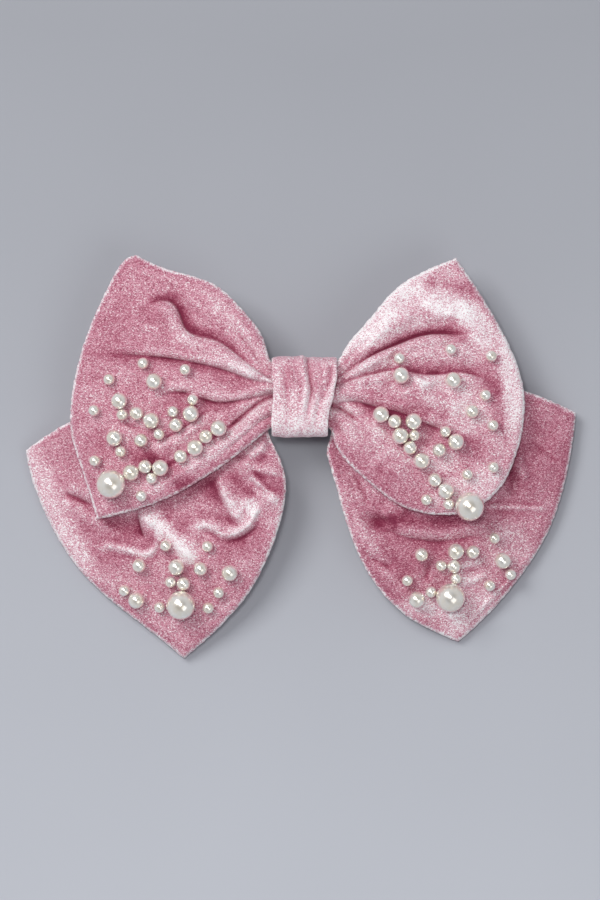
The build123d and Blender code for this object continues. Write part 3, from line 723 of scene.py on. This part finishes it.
def velvet(name, bearing, tone=0.0, stretch=0.6):
    """Crushed velvet: its own tone with painted sheen and shade, painted glinting tips, and ribs along the
    nap.
    """
    material, tree, shader = new_material(name)
    # The pile attribute: the velvet's own tone with painted sheen and painted shade.
    pile_tone_and_painted_light = add(tree, "ShaderNodeAttribute", attribute_name="pile_tone_and_painted_light").outputs["Fac"]
    place = tree.nodes.new("ShaderNodeTexCoord")
    lay = add(tree, "ShaderNodeMapping", Rotation=(0, 0, math.radians(-bearing)), Scale=(stretch, 1, 1))
    tree.links.new(place.outputs["Object"], lay.inputs["Vector"])
    tufts = add(tree, "ShaderNodeTexVoronoi", Scale=1 / (TUFT * MM))
    tree.links.new(lay.outputs["Vector"], tufts.inputs["Vector"])
    parts = tree.nodes.new("ShaderNodeSeparateColor")
    tree.links.new(tufts.outputs["Color"], parts.inputs["Color"])
    glint = colour_ramp(tree, parts.outputs["Red"], GLINT_STOPS)
    glint = math_node(tree, "SUBTRACT", glint, GLINT_MEAN)
    ribs = add(tree, "ShaderNodeTexNoise", Scale=1 / (RIB * MM), Detail=1.0)
    tree.links.new(lay.outputs["Vector"], ribs.inputs["Vector"])
    crush = grain(tree, CRUSH, detail=3.0, distortion=1.0)
    # Painted glints, stronger where the pile is painted lighter.
    reach = math_node(tree, "ADD", math_node(tree, "MULTIPLY", pile_tone_and_painted_light, GLINT_REACH_LIGHT), GLINT_REACH)
    light = math_node(tree, "ADD", pile_tone_and_painted_light, math_node(tree, "MULTIPLY", glint, reach))
    light = math_node(tree, "ADD", light, swing(tree, crush, 0.5, CRUSH_TONE))
    light = math_node(tree, "ADD", light, swing(tree, ribs.outputs["Fac"], 0.5, RIB_TONE))
    light = math_node(tree, "ADD", light, tone)
    tree.links.new(colour_ramp(tree, light, VELVET_STOPS), shader.inputs["Base Color"])
    shader.inputs["Roughness"].default_value = 0.8
    shader.inputs["Sheen Weight"].default_value = 0.35
    shader.inputs["Sheen Roughness"].default_value = 0.35
    shader.inputs["Sheen Tint"].default_value = srgb(255, 232, 238)
    shader.inputs["Specular IOR Level"].default_value = 0.2
    height = math_node(tree, "ADD", glint, math_node(tree, "MULTIPLY", crush, 0.8))
    bump = add(tree, "ShaderNodeBump", Strength=0.5, Distance=0.3 * MM)
    tree.links.new(height, bump.inputs["Height"])
    tree.links.new(bump.outputs["Normal"], shader.inputs["Normal"])
    return material


NACRE_STOPS = [(0.3, srgb(252, 242, 226)), (0.7, srgb(255, 253, 249))]
PLATE_STOPS = [(0.3, srgb(186, 186, 190)), (0.7, srgb(214, 214, 216))]
PLATE_GRAIN = (60, 1400, 1400)  # fine lines along the length of the clip


def pearl_lustre():
    """Imitation pearl: an ivory nacre, half metallic, under a clear glossy coat."""
    material, tree, shader = new_material("pearl_lustre")
    cloud = grain(tree, 3.0, detail=2.0)
    tree.links.new(colour_ramp(tree, cloud, NACRE_STOPS), shader.inputs["Base Color"])
    shader.inputs["Metallic"].default_value = 0.62
    shader.inputs["Roughness"].default_value = 0.22
    shader.inputs["Specular IOR Level"].default_value = 0.6
    shader.inputs["Coat Weight"].default_value = 1.0
    shader.inputs["Coat Roughness"].default_value = 0.04
    return material


def plated_steel():
    """Nickel-plated spring steel with a fine rolling grain."""
    material, tree, shader = new_material("nickel_plated_steel")
    place = tree.nodes.new("ShaderNodeTexCoord")
    stretch = add(tree, "ShaderNodeMapping", Scale=PLATE_GRAIN)
    brushed = add(tree, "ShaderNodeTexNoise", Scale=1.0, Detail=3.0)
    tree.links.new(place.outputs["Object"], stretch.inputs["Vector"])
    tree.links.new(stretch.outputs["Vector"], brushed.inputs["Vector"])
    tree.links.new(colour_ramp(tree, brushed.outputs["Fac"], PLATE_STOPS), shader.inputs["Base Color"])
    shader.inputs["Metallic"].default_value = 1.0
    rough = math_node(tree, "ADD", math_node(tree, "MULTIPLY", brushed.outputs["Fac"], 0.2), 0.18)
    tree.links.new(rough, shader.inputs["Roughness"])
    return material


def fibre(name, dark, light, size):
    """A matt fibrous finish for felt and thread."""
    material, tree, shader = new_material(name)
    fuzz = grain(tree, size, detail=4.0, distortion=0.6)
    tree.links.new(colour_ramp(tree, fuzz, [(0.35, dark), (0.65, light)]), shader.inputs["Base Color"])
    shader.inputs["Roughness"].default_value = 0.9
    bump = add(tree, "ShaderNodeBump", Strength=0.4, Distance=0.1 * MM)
    tree.links.new(fuzz, bump.inputs["Height"])
    tree.links.new(bump.outputs["Normal"], shader.inputs["Normal"])
    return material


def paint(piece, material):
    piece.data.materials.clear()
    piece.data.materials.append(material)


KNOT_AROUND = 300
KNOT_ACROSS = 120
KNOT_CLOTH = 1.3
KNOT_ROLL = 1.8  # the width of the rolled edges
KNOT_LEFT = -9.9
KNOT_RIGHT = 9.3
KNOT_FLARE = 3.0  # the right edge runs out this far towards the head
# The knot's pile is painted lighter than the panels', as a sheen.
KNOT_LIGHT = 0.74
# Creases over the knot, in the same terms as a panel's.
KNOT_CREASES = [
    ([(2.5, 36), (2.5, 33.5), (3.0, 29), (3.3, 26.7), (3.8, 22.9), (3.2, 19.5), (2.6, 15), (2.4, 11)],
     1.5, 0.8, 1.0, 0.3, 0.8, 1.0),
    ([(10.6, 31), (10, 26.7), (8.4, 22.1), (6.9, 19), (5.9, 14.9), (5.4, 9)], 0.9, 1.0, 1.2, 0.5, 0.2, 1.0),
    ([(-5.2, 31), (-5.0, 23.3), (-4.2, 16.1), (-4.0, 10)], 0.6, 1.2, 1.6, 0.1, 0.2, 1.0),
    ([(-0.5, 13), (0.2, 9), (0.3, 5)], 0.35, 0.8, 0.8, 0.2, 0.1, 1.0),
]
KNOT_PAINTED_SHEEN_AND_SHADE = [
    (-2.5, 28, 4.2, 4.5, 90, -0.09), (7, 27, 4.5, 2.6, 95, -0.09), (1.8, 22.5, 5.5, 1.1, 88, 0.16),
    (-8, 18, 14, 1.2, 90, 0.10), (10, 21, 6, 0.9, 70, 0.12), (-1, 11, 4, 9, 90, 0.08),
]


def knot():
    """The gathered band round the waists: a ring of cloth with its two edges rolled under."""
    turn = np.linspace(0, 2 * math.pi, KNOT_AROUND, endpoint=False)[:, None]
    across = np.linspace(0, 1, KNOT_ACROSS)[None]
    across = 0.6 * across + 0.4 * (1 - np.cos(across * math.pi)) / 2
    middle_y = (KNOT_LOW[1] + KNOT_HIGH[1]) / 2
    half_y = (KNOT_HIGH[1] - KNOT_LOW[1]) / 2 + 0.2
    waist_z = KNOT_LOW[2] + 0.45 * (KNOT_HIGH[2] - KNOT_LOW[2])
    cos, sin = np.cos(turn), np.sin(turn)
    # Powers below one square the ring up.
    boxy_y = np.sign(cos) * np.abs(cos) ** 0.55
    boxy_z = np.sign(sin) * np.abs(sin) ** 0.62
    half_z = np.where(sin > 0, KNOT_HIGH[2] - waist_z, waist_z - KNOT_LOW[2])
    y = middle_y + half_y * boxy_y + np.zeros_like(across)
    share = np.clip((y - KNOT_LOW[1]) / (2 * half_y), 0, 1)
    straight = np.zeros_like(y)
    left = KNOT_LEFT - 0.3 * np.cos(share * 6) + 0.2 * wander(y, straight, 4, 41)
    right = KNOT_RIGHT + KNOT_FLARE * smooth_step(0.15, 0.75, share) + 0.2 * wander(y, straight, 4, 42)
    x = left + (right - left) * across
    folds = sum(crease(x, y, spec) for spec in KNOT_CREASES)
    on_top = smooth_step(-0.2, 0.35, sin)
    above = folds[0] * on_top + 0.3 * wander(x, y, 5, 43) + 0.14 * wander(2 * x, y, 3, 44)
    edge = np.minimum(across, 1 - across) * (right - left)
    roll = np.sqrt(np.clip(1 - (1 - np.clip(edge / KNOT_ROLL, 0, 1)) ** 2, 0, 1))
    sink = KNOT_CLOTH / 2 * (1 - roll) - above * (0.2 + 0.8 * roll) + 0.1
    size = np.hypot(boxy_y, boxy_z)
    normal_y, normal_z = boxy_y / size, boxy_z / size
    z = waist_z + half_z * boxy_z + np.zeros_like(across)
    outer = (x, y - sink * normal_y, z - sink * normal_z)
    depth = np.maximum(KNOT_CLOTH / 2 * (1 + roll) - 0.5 * above * roll + 0.1, sink)
    inner = (x, y - depth * normal_y, z - depth * normal_z)
    piece, keep = build_mesh("knot_of_velvet", [outer, inner], wrap=True)
    # Painted sheen on the lower half of the knot and on its rolled edges, and painted shade in its creases.
    pile_tone_and_painted_light = KNOT_LIGHT - 0.22 * smooth_step(0.2, 0.6, share) + 1.3 * folds[1] * on_top
    pile_tone_and_painted_light = pile_tone_and_painted_light + sum(painted_sheen_or_shade(x, y, spec) for spec in KNOT_PAINTED_SHEEN_AND_SHADE)
    pile_tone_and_painted_light = pile_tone_and_painted_light + 0.18 * (1 - smooth_step(0.2, 1.0, edge)) + 0.10 * wander(3 * x, y, 6, 45)
    inside = np.full_like(pile_tone_and_painted_light, 0.4)
    store(piece, "pile_tone_and_painted_light", np.concatenate([pile_tone_and_painted_light.ravel(), inside.ravel()])[keep])
    outward(piece)
    return piece


FLOOR_REACH = 2.5  # metres
FLOOR_GAP = 0.0002  # metres
# Painted shade on the floor: lighter near the viewer, darker away from it.
FLOOR_STOPS = [(0.0, srgb(192, 195, 203)), (1.0, srgb(159, 161, 168))]
# Lamps that shine at the bow: (name, place in metres, size in metres, power, colour).
LAMPS = [
    ("key", (-0.75, 0.7, 1.4), 0.8, 16, (1.0, 0.99, 0.98)),
    ("lamp_by_camera", (-0.12, 0.22, 2.2), 0.26, 13.5, (1.0, 1.0, 1.0)),
    ("fill", (0.8, -0.7, 1.5), 1.1, 4.5, (0.98, 0.99, 1.0)),
]
# The air of the studio, from the horizon to straight up: the ceiling is darker than the walls. Below the
# horizon it keeps the first colour.
AIR_STOPS = [
    (0.0, (0.8, 0.83, 0.88, 1)),
    (0.62, (0.62, 0.64, 0.68, 1)),
    (0.86, (0.12, 0.125, 0.13, 1)),
    (1.0, (0.1, 0.1, 0.11, 1)),
]
AIR_STRENGTH = 0.58


def floor():
    """A plain pale floor with painted shade, a little darker away from the viewer, just under the lowest
    point.
    """
    level = min(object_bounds()[0].z, 0) - FLOOR_GAP
    mesh = bpy.data.meshes.new("floor")
    corners = [(-FLOOR_REACH, -FLOOR_REACH), (FLOOR_REACH, -FLOOR_REACH), (FLOOR_REACH, FLOOR_REACH),
               (-FLOOR_REACH, FLOOR_REACH)]
    mesh.from_pydata([(x, y, level) for x, y in corners], [], [(0, 1, 2, 3)])
    ground = bpy.data.objects.new("floor", mesh)
    bpy.context.scene.collection.objects.link(ground)
    material, tree, shader = new_material("pale_floor")
    place = tree.nodes.new("ShaderNodeTexCoord")
    axes = tree.nodes.new("ShaderNodeSeparateXYZ")
    tree.links.new(place.outputs["Object"], axes.inputs["Vector"])
    # Painted shade, darker towards +y, with a faint random cloud.
    along = math_node(tree, "ADD", math_node(tree, "MULTIPLY", axes.outputs["Y"], 3.0), 0.5)
    cloud = math_node(tree, "MULTIPLY", grain(tree, 90.0, detail=1.0), 0.15)
    shade = math_node(tree, "ADD", along, cloud)
    tree.links.new(colour_ramp(tree, shade, FLOOR_STOPS), shader.inputs["Base Color"])
    shader.inputs["Roughness"].default_value = 0.85
    paint(ground, material)
    ground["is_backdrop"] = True


def area_light(name, place, size, power, colour):
    light = bpy.data.lights.new(name, "AREA")
    light.size = size
    light.energy = power
    light.color = colour
    lamp = bpy.data.objects.new(name, light)
    lamp.location = place
    direction = -lamp.location
    lamp.rotation_euler = direction.to_track_quat("-Z", "Y").to_euler()
    bpy.context.scene.collection.objects.link(lamp)


def studio():
    """A soft key from the upper left, a small lamp beside the camera, a fill, and the air of the room."""
    for lamp in LAMPS:
        area_light(*lamp)
    world = bpy.data.worlds.new("studio_air")
    world.use_nodes = True
    tree = world.node_tree
    place = tree.nodes.new("ShaderNodeTexCoord")
    axes = tree.nodes.new("ShaderNodeSeparateXYZ")
    tree.links.new(place.outputs["Generated"], axes.inputs["Vector"])
    air = colour_ramp(tree, axes.outputs["Z"], AIR_STOPS)
    tree.links.new(air, tree.nodes["Background"].inputs["Color"])
    tree.nodes["Background"].inputs["Strength"].default_value = AIR_STRENGTH
    bpy.context.scene.world = world
    bpy.context.scene.view_settings.view_transform = "Standard"


# The camera's place and view, in metres.
CAMERA_HEIGHT = 3.0
CAMERA_PLAN = (-0.0003, 0.0024)
VIEW_HEIGHT = 0.3103  # what the picture's long side spans at the bow's height
BOW_LEVEL = 0.014


def camera():
    """Straight above the bow, so far away that its layers keep their own sizes."""
    data = bpy.data.cameras.new("camera")
    data.lens = data.sensor_width * (CAMERA_HEIGHT - BOW_LEVEL) / VIEW_HEIGHT
    eye = bpy.data.objects.new("camera", data)
    eye.location = (*CAMERA_PLAN, CAMERA_HEIGHT)
    bpy.context.scene.collection.objects.link(eye)
    bpy.context.scene.camera = eye


def free(x, y):
    """Nothing lies over the front bow, so its folds can stand up."""
    return np.full_like(x, 4.0)


def under_wing(x, y):
    """Tails stay low where the front bow lies over them."""
    out = np.hypot(x - CLIP_X, y - CLIP_Y)
    covered = smooth_step(-2, 10, y)
    return 2.6 - 2.0 * covered - 0.8 * (1 - smooth_step(14, 40, out)) * covered


# Each panel's outline, layer, folds and patches, the ceiling over its folds, how light its pile is, the
# bearing of its nap in degrees, its tone, and the seed of its unevenness. The lightness and tone are the
# velvet's own pink, set apart from panel to panel by painted sheen and shade.
PANELS = {
    "left_wing": {
        "outline": LEFT_WING, "layer": "bow", "creases": LEFT_WING_CREASES, "crests": LEFT_WING_CRESTS,
        "hollows": LEFT_WING_HOLLOWS, "pile_tone_and_painted_light": LEFT_WING_PAINTED_SHEEN_AND_SHADE, "ceiling": free,
        "light": 0.43, "nap": -38, "tone": 0.0, "seed": 11,
    },
    "right_wing": {
        "outline": RIGHT_WING, "layer": "bow", "creases": RIGHT_WING_CREASES, "crests": RIGHT_WING_CRESTS,
        "hollows": RIGHT_WING_HOLLOWS, "pile_tone_and_painted_light": RIGHT_WING_PAINTED_SHEEN_AND_SHADE, "ceiling": free,
        "light": 0.41, "nap": 40, "tone": 0.0, "seed": 23,
    },
    "left_tail": {
        "outline": LEFT_TAIL, "layer": "tails", "creases": LEFT_TAIL_CREASES, "crests": LEFT_TAIL_CRESTS,
        "hollows": LEFT_TAIL_HOLLOWS, "pile_tone_and_painted_light": LEFT_TAIL_PAINTED_SHEEN_AND_SHADE, "ceiling": under_wing,
        "light": 0.44, "nap": -48, "tone": 0.01, "seed": 37,
    },
    "right_tail": {
        "outline": RIGHT_TAIL, "layer": "tails", "creases": RIGHT_TAIL_CREASES, "crests": RIGHT_TAIL_CRESTS,
        "hollows": RIGHT_TAIL_HOLLOWS, "pile_tone_and_painted_light": RIGHT_TAIL_PAINTED_SHEEN_AND_SHADE, "ceiling": under_wing,
        "light": 0.36, "nap": 25, "tone": -0.01, "seed": 53,
    },
}


def flat_size(piece):
    """The width and length of a panel in metres, and the area of its cut."""
    places = vertex_places(piece.data)
    width, length = (float(side) for side in (places.max(axis=0) - places.min(axis=0))[:2])
    return (round(width, 3), round(length, 3)), round(width * length * PANEL_AREA_SHARE, 5)


def soft_goods():
    """The two wings, the two tails and the knot, each in its own velvet."""
    for name, layout in PANELS.items():
        layer = layout["layer"]
        piece = panel(name, layout)
        paint(piece, velvet("crushed_velvet_" + name, layout["nap"], layout["tone"]))
        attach(piece, "root")
        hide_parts(layer + "_front_panel", layer + "_interlining", layer + "_back_panel")
        flat, area = flat_size(piece)
    band = knot()
    paint(band, velvet("crushed_velvet_knot", 90, 0.02, 0.5))
    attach(band, "root")
    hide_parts("knot_band")


def hard_goods():
    """Finishes for the pearls, threads, felt and clip, which stay as they are packed."""
    lustre, steel = pearl_lustre(), plated_steel()
    thread = fibre("sewing_thread", srgb(196, 128, 146), srgb(222, 160, 176), 0.12)
    felt = fibre("wool_felt", srgb(190, 118, 138), srgb(216, 150, 168), 0.4)
    for name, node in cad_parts.items():
        if name.startswith("pearls_"):
            paint(node, lustre)
        elif "thread" in name or "stitches" in name:
            paint(node, thread)
        elif name == "clip_backing_felt":
            paint(node, felt)
        elif name.startswith(("clip_", "catch_")):
            paint(node, steel)


camera()
soft_goods()
hard_goods()
floor()
studio()
